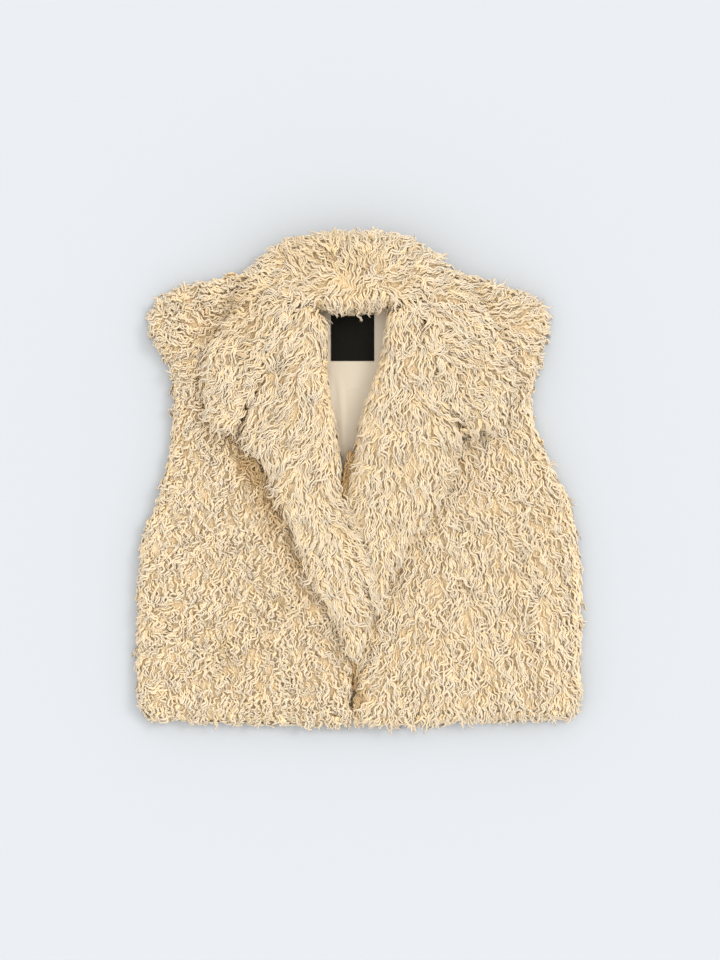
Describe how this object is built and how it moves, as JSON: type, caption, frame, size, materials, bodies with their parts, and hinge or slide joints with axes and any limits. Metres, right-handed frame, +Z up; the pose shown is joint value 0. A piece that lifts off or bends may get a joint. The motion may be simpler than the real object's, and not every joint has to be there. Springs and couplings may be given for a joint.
{
  "type": "faux fur vest",
  "caption": "Cropped sleeveless faux fur vest with a wide notched collar and turned-back lapels, laid flat on its back.",
  "frame": {"origin": "on the surface that the vest lies on, under the middle of its box", "axes": "+Z up from the surface, out of the vest's fronts; +Y from the hem to the collar; +X to the wearer's left"},
  "size_m": [0.5134, 0.57, 0.0535],
  "materials": {
    "fur": "curly cream pile",
    "lining": "soft satin",
    "label": "plain woven black"
  },
  "bodies": {
    "root": {"back_panel": "fur", "back_lining": "lining", "label": "label", "right_front": "fur", "left_front": "fur", "right_lapel": "fur", "left_lapel": "fur", "collar": "fur", "collar_fall": "fur"}
  },
  "joints": []
}
